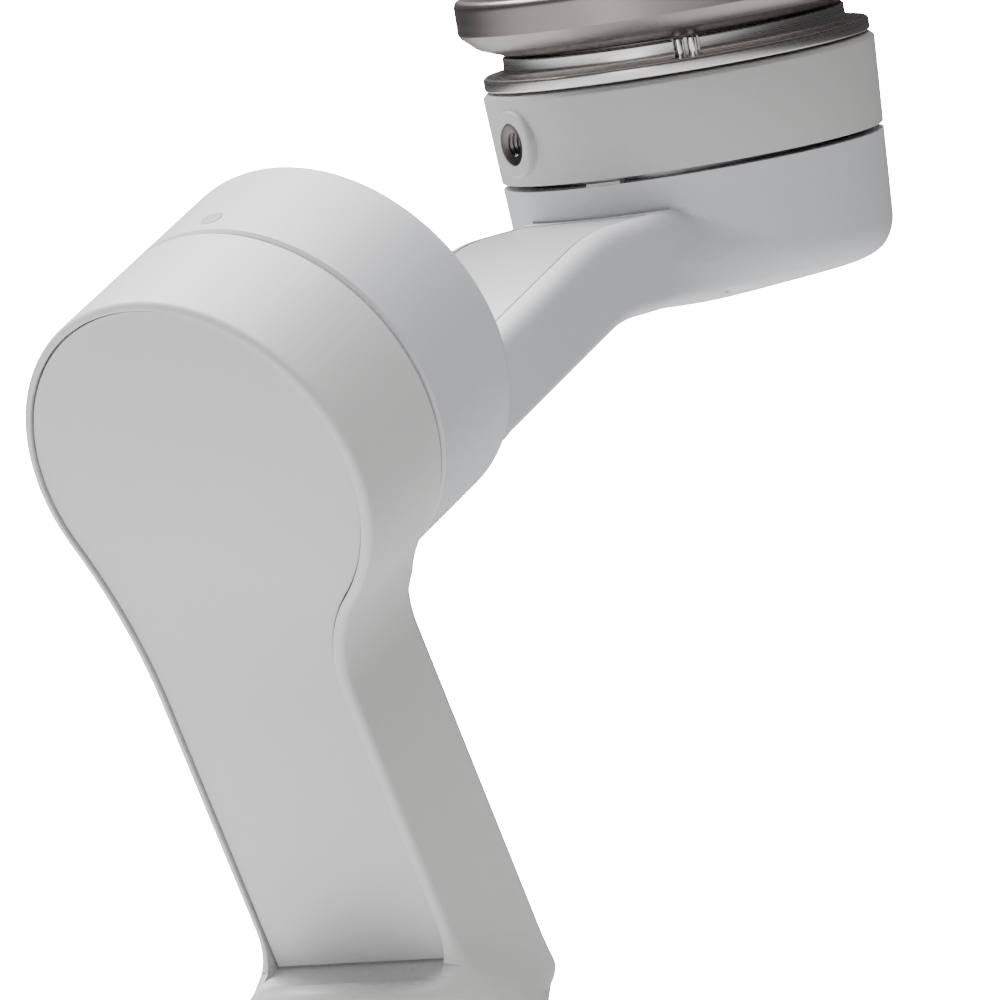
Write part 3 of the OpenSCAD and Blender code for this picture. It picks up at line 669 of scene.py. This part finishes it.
def make_arm_2_shell():
    piece = sweep_bar(ARM_2_HALF, 0, ARM_2_THICK, 8, 4)
    cut(piece, place(drum(ROLL_R, -2, ROLL_DEPTH, 1.0), ROLL), "UNION")
    bottom = -CUP_DEPTH - HALF_SEAM
    cup = [(0, bottom), (TILT_R - 8, bottom), (TILT_R - 1.5, -CUP_DEPTH + 6), (TILT_R, 1.5), (0, 1.5)]
    cut(piece, place(lathe(cup), TILT), "UNION")
    settle(piece, arm_2_distance, 0.42)
    trim(piece, ROLL, HALF_SEAM, True)
    # The rim is chamfered where the two halves of the roll housing meet
    chamfer = place(lathe([(0, 0.1), (ROLL_R + 1, 0.1), (ROLL_R + 1, 0.9), (0, 0.9)], 224), ROLL)
    cut(chamfer, place(lathe([(0, 0), (ROLL_R - 0.6, 0), (ROLL_R + 0.04, 0.95), (0, 0.95)], 224), ROLL))
    cut(piece, chamfer)
    cut(piece, place(drum(TILT_R + 4, -HALF_SEAM, 6, 0.1), TILT))
    cut(piece, place(drum(ROLL_R - WALL, -3, ROLL_DEPTH - WALL, 0.1), ROLL))
    cut(piece, place(drum(TILT_R - 3.6, -CUP_DEPTH + 1.6, 3, 3.0), TILT))
    cut(piece, sweep_bar(LABEL_HALF + 0.25, ARM_2_THICK - 1.25, ARM_2_THICK + 5, ROLL_DEPTH + 1, 28.8))
    # A fine slit where the label's seat runs along the cup's wall
    slit = place(lathe([(0, -6.2), (TILT_R + 0.15, -6.2), (TILT_R + 0.15, -4.6), (0, -4.6)], 224), TILT)
    cut(slit, place(lathe([(0, -7), (TILT_R - 0.45, -7), (TILT_R - 0.45, -4), (0, -4)], 224), TILT))
    cut(slit, block_in((-LABEL_HALF - 1, -40, -8), (LABEL_HALF + 1, 0, 0), TILT), "INTERSECT")
    cut(piece, slit)
    return finish_piece(piece, "arm_2_skin", cool_shell, "arm_2", ["arm_2_shell"], 25)


make_arm_2_shell()

# %% The label panel let into the top of the upper arm
label = sweep_bar(LABEL_HALF - 0.1, ARM_2_THICK - 1.2, ARM_2_THICK - 0.05, ROLL_DEPTH + 1.15, 29.2)
apply_modifier(label, "BEVEL", width=0.1 * MM, segments=2, limit_method="ANGLE", angle_limit=math.radians(50))
arm_2_label = finish_piece(label, "arm_2_panel", label_panel, "arm_2", ["arm_2_cover"], 25)
# The label's side walls get the dark finish: painted shade in the gap round the label.
paint_gap_shade(arm_2_label, dark_plastic, Vector((0, tilt_up[1], tilt_up[2])), 0.3)

# %% The printed dot
DOT_TURN = -91
DOT_Z = 4.2

dot = drum(1.6, 0, 0.3, 0.05, 48)
around = Matrix.Rotation(math.radians(DOT_TURN), 4, "Z")
outward = Matrix.Rotation(math.radians(90), 4, "Y")
place(dot, ROLL @ around @ Matrix.Translation(((ROLL_R - 0.24) * MM, 0, DOT_Z * MM)) @ outward)
finish_piece(dot, "printed_dot", mark_ink, "arm_2", ["alignment_mark"])

# %% [markdown]
# ## Head
# The tilt rotor is a turned plastic cap with a raised boss for accessories. A satin ring, a narrow neck with the
# clamp's contacts in its notch and the dark flared plate of the clamp stand on it.

# %% Tilt rotor housing
TILT_TOP = 13.5
BOSS_TURN = -25.3 - 90
BOSS_Z = 6.7
BOSS_R = 4.9
BOSS_TIP = TILT_R + 1.3


def boss_frame():
    """The frame of the accessory boss: Z points out of the housing."""
    turn = Matrix.Rotation(math.radians(BOSS_TURN), 4, "Z")
    out = Matrix.Translation((0, 0, BOSS_Z * MM)) @ Matrix.Rotation(math.radians(90), 4, "Y")
    return TILT @ turn @ out


BOSS = boss_frame()


def make_tilt_housing():
    top_r = TILT_R + TAPER * TILT_TOP
    profile = [(0, HALF_SEAM), (TILT_R - 0.25, HALF_SEAM)]
    profile += [(TILT_R - 0.02, HALF_SEAM + 0.08), (TILT_R + 0.03, HALF_SEAM + 0.3)]
    profile += [(TILT_R + TAPER * 6, 6), (top_r - 0.03, TILT_TOP - 0.75)]
    profile += [(top_r - 0.06, TILT_TOP - 0.62), (top_r - 0.15, TILT_TOP - 0.5)]
    profile += [(top_r - 0.58, TILT_TOP - 0.07), (top_r - 0.75, TILT_TOP), (0, TILT_TOP)]
    piece = place(lathe(profile, 224), TILT)
    cut(piece, place(drum(TILT_R - WALL - 0.5, -3, TILT_TOP - 2, 0.3), TILT))
    cut(piece, place(drum(BOSS_R, 22, BOSS_TIP, 0.55, 72), BOSS), "UNION")
    cut(piece, place(drum(3.1, 18, BOSS_TIP + 3, 0.05, 72), BOSS))
    cut(piece, place(drum(4, 5, 20, 0.1, 48), TILT))
    return finish_piece(piece, "tilt_rotor_housing", head_shell, "head", ["tilt_housing"], 25)


make_tilt_housing()

# %% Threaded insert in the boss
def make_insert():
    """A bush in the dark steel finish, with a cut thread: each turn of the thread is one groove of the bore."""
    pitch, crest, root = 0.7, 1.72, 2.06
    z0, z1 = BOSS_TIP - 6.3, BOSS_TIP - 0.12
    bore = []
    z = z1 - 0.35
    while z > z0 + 0.3:
        bore += [(crest, z), (root, z - pitch / 2)]
        z -= pitch
    deselect()
    profile = [(root + 0.7, z1), (3.04, z1), (3.04, z0), (crest, z0)] + bore[::-1]
    r, z = profile[0]
    bpy.ops.mesh.primitive_circle_add(vertices=72, radius=r * MM, location=(0, 0, z * MM))
    piece = bpy.context.object
    bpy.ops.object.transform_apply()
    bpy.ops.object.mode_set(mode="EDIT")
    bpy.ops.mesh.select_all(action="SELECT")
    for next_r, next_z in profile[1:] + profile[:1]:
        bpy.ops.mesh.extrude_region_move(TRANSFORM_OT_translate={"value": (0, 0, (next_z - z) * MM)})
        scale = next_r / r
        bpy.ops.transform.resize(value=(scale, scale, 1), center_override=(0, 0, next_z * MM))
        r, z = next_r, next_z
    bpy.ops.mesh.select_all(action="SELECT")
    bpy.ops.mesh.remove_doubles(threshold=0.000002)
    bpy.ops.mesh.normals_make_consistent(inside=False)
    bpy.ops.object.mode_set(mode="OBJECT")
    place(piece, BOSS)
    return finish_piece(piece, "thread_insert", black_steel, "head", ["accessory_insert"], 30)


make_insert()

# %% Satin ring and neck
RING_Z = (13.9, 15.8)
RING_R = 28.0
NECK_Z = 18.3
NECK_R = 24.8
NOTCH_TURN = 39 - 90

ring_profile = [(0, RING_Z[0])] + round_corner((RING_R - 0.3, RING_Z[0] + 0.3), 0.3, -90, 0)
ring_profile += [(RING_R, RING_Z[1] - 0.9)] + round_corner((RING_R - 0.5, RING_Z[1] - 0.5), 0.5, 0, 90)
ring_profile += [(RING_R - 2.2, RING_Z[1]), (0, RING_Z[1])]
ring = place(lathe(ring_profile, 224), TILT)
finish_piece(ring, "satin_ring", satin_silver, "head", ["mount_ring"], 30)


def make_neck():
    foot = round_corner((NECK_R + 1.1, RING_Z[1] + 1.1), 1.1, 262, 182)
    profile = [(0, RING_Z[1] - 0.05)] + foot + [(NECK_R, NECK_Z - 0.2), (NECK_R - 0.2, NECK_Z), (0, NECK_Z)]
    piece = lathe(profile, 224)
    notch_turn = Matrix.Rotation(math.radians(NOTCH_TURN), 4, "Z")
    low, high = (NECK_R - 2.2, -1.9, RING_Z[1] + 0.02), (NECK_R + 4, 1.9, NECK_Z + 1)
    cut(piece, block_in(low, high, notch_turn))
    place(piece, TILT)
    return finish_piece(piece, "neck", satin_silver, "head", ["mount_neck"], 30)


make_neck()

# %% Contact pins in the notch
for number, side in enumerate((-0.95, 0.95)):
    pin = drum(0.7, RING_Z[1] - 0.2, NECK_Z + 0.1, 0.2, 40)
    turn = Matrix.Rotation(math.radians(NOTCH_TURN), 4, "Z") @ Matrix.Translation((23.7 * MM, side * MM, 0))
    place(pin, TILT @ turn)
    finish_piece(pin, "contact_pin_%d" % (number + 1), bright_pin, "head", ["contact_pins"])

# %% Flared plate under the clamp
PLATE_Z = (18.7, 27.5)
PLATE_R = 30.5
flare = [(0, NECK_Z), (NECK_R - 4, NECK_Z), (NECK_R - 4, PLATE_Z[0])]
flare += [(NECK_R - 0.3, PLATE_Z[0]), (NECK_R + 0.2, PLATE_Z[0] + 0.12)]
flare += [(NECK_R + 2.9, PLATE_Z[0] + 1.15), (NECK_R + 3.5, PLATE_Z[0] + 1.5)]
flare += [(PLATE_R - 0.35, PLATE_Z[0] + 3.2), (PLATE_R, PLATE_Z[0] + 3.8)]
flare += [(PLATE_R, PLATE_Z[1] - 1.4)]
flare += round_corner((PLATE_R - 1.2, PLATE_Z[1] - 1.2), 1.2, 0, 90) + [(0, PLATE_Z[1])]
plate_turned = place(lathe(flare, 224), TILT)
finish_piece(plate_turned, "clamp_plate", dark_turned, "head", ["clamp_base"], 25)

# %% [markdown]
# ## Pieces that keep their CAD shape with softened edges
# A moulded or machined part has no knife edge: each copy gets a narrow rounded edge of its own size.

# %% Softened copies


def softened(node, name, material, body, soft=0.3, segments=2, angle=35):
    source = nodes[node]
    piece = bpy.data.objects.new(name, source.data.copy())
    bpy.context.collection.objects.link(piece)
    only(piece)
    bpy.ops.object.mode_set(mode="EDIT")
    bpy.ops.mesh.select_all(action="SELECT")
    bpy.ops.mesh.remove_doubles(threshold=0.000001)
    bpy.ops.mesh.dissolve_limited(angle_limit=math.radians(0.6))
    bpy.ops.mesh.normals_make_consistent(inside=False)
    bpy.ops.mesh.customdata_custom_splitnormals_clear()
    bpy.ops.object.mode_set(mode="OBJECT")
    limit = math.radians(angle)
    apply_modifier(
        piece, "BEVEL", width=soft * MM, segments=segments, limit_method="ANGLE", angle_limit=limit
    )
    return finish_piece(piece, name, material, body, [node], angle)


softened("handle_front_shell", "handle_front_skin", warm_shell, "handle", 0.25)
softened("handle_rear_shell", "handle_rear_skin", warm_shell, "handle", 0.25)
softened("base_cap", "handle_foot", dark_plastic, "handle", 0.6, 3)
softened("control_panel", "control_face", dark_plastic, "handle", 0.25)
softened("joystick_cap", "joystick_top", soft_rubber, "joystick", 0.3, 3)
softened("record_button", "record_key", red_button, "record_button", 0.3, 3)
softened("mode_button", "mode_key", grey_button, "mode_button", 0.3, 3)
softened("power_button", "power_key", grey_button, "power_button", 0.3, 3)
softened("trigger", "trigger_lever", dark_plastic, "trigger", 0.5, 3)
softened("zoom_dial", "zoom_wheel", dark_plastic, "zoom_dial", 0.15)
softened("pan_housing", "pan_motor_skin", warm_shell, "handle", 0.3)
softened("clamp_post", "clamp_stem", brushed_silver, "head", 0.8, 3)
softened("clamp_body", "clamp_back", head_shell, "clamp", 0.8, 3)
softened("sliding_jaw", "clamp_jaw", head_shell, "jaw", 0.8, 3)
softened("clamp_pad", "back_pads", soft_rubber, "clamp", 0.3, 3)
softened("jaw_pad", "front_pad", soft_rubber, "jaw", 0.3, 3)

# %% Finishes of the pieces that stay as the CAD made them
SLOT_FINISH = {
    "warm_grey_shell": warm_shell,
    "cool_white_shell": cool_shell,
    "head_grey_shell": head_shell,
    "inset_panel": flat_panel,
    "mark_grey": mark_ink,
    "dark_plastic": dark_plastic,
    "soft_black": soft_rubber,
    "button_red": red_button,
    "button_grey": grey_button,
    "satin_silver": satin_silver,
    "dark_metal": dark_turned,
    "bright_pin": bright_pin,
    "black_steel": black_steel,
    "steel": steel,
    "motor_alloy": motor_alloy,
    "copper": copper,
    "magnet": magnet,
    "brass_insert": brass,
    "circuit_green": circuit,
    "cell_wrap": cell_wrap,
}
for name, thing in nodes.items():
    for index, given in enumerate(list(thing.data.materials)):
        thing.data.materials[index] = SLOT_FINISH[given.name.split(".")[0]]
print("CAD pieces finished:", len(nodes))

# %% [markdown]
# ## Floor and light
# A pale floor and large soft lights, as in a product tent: strong ones from above and from the upper left, and a
# weak one low in front. The surrounding looks bright white to the camera but lights the gimbal only faintly.

# %% Floor
deselect()
bpy.ops.mesh.primitive_circle_add(vertices=128, radius=4, fill_type="NGON")
floor = bpy.context.object
floor.name = "floor"
floor_paint = moulded("floor_paint", (0.72, 0.72, 0.72), rough=0.6, grain=0.00002, grain_scale=400, spread=0.01)
floor.data.materials.append(floor_paint)

# %% Lights


def area_light(name, azimuth, rise, distance, size, power, colour=(1, 1, 1)):
    """A soft light that looks at the middle of the gimbal. Azimuth 0 is in front, and grows to the right."""
    target = ROLL.translation
    a, e = math.radians(azimuth), math.radians(rise)
    out = Vector((math.sin(a) * math.cos(e), -math.cos(a) * math.cos(e), math.sin(e)))
    data = bpy.data.lights.new(name, "AREA")
    data.shape = "RECTANGLE"
    data.size, data.size_y = size
    data.energy = power
    data.color = colour
    light = bpy.data.objects.new(name, data)
    light.location = target + out * distance
    light.rotation_mode = "QUATERNION"
    light.rotation_quaternion = out.to_track_quat("Z", "Y")
    bpy.context.collection.objects.link(light)
    return light


area_light("top", 0, 88, 1.6, (1.2, 1.2), 48)
area_light("key", -80, 60, 1.6, (1.0, 1.0), 54)
area_light("front", 5, -10, 1.2, (0.6, 0.6), 3.6)

world = bpy.data.worlds.new("tent")
bpy.context.scene.world = world
world.use_nodes = True
sky = world.node_tree
soft = sky.nodes["Background"]
soft.inputs["Color"].default_value = (1, 1, 1, 1)
soft.inputs["Strength"].default_value = 0.06
bright = sky.nodes.new("ShaderNodeBackground")
bright.inputs["Color"].default_value = (1, 1, 1, 1)
bright.inputs["Strength"].default_value = 40.0
choose = sky.nodes.new("ShaderNodeMixShader")
ray = sky.nodes.new("ShaderNodeLightPath")
sky.links.new(ray.outputs["Is Camera Ray"], choose.inputs["Fac"])
sky.links.new(soft.outputs["Background"], choose.inputs[1])
sky.links.new(bright.outputs["Background"], choose.inputs[2])
sky.links.new(choose.outputs["Shader"], sky.nodes["World Output"].inputs["Surface"])
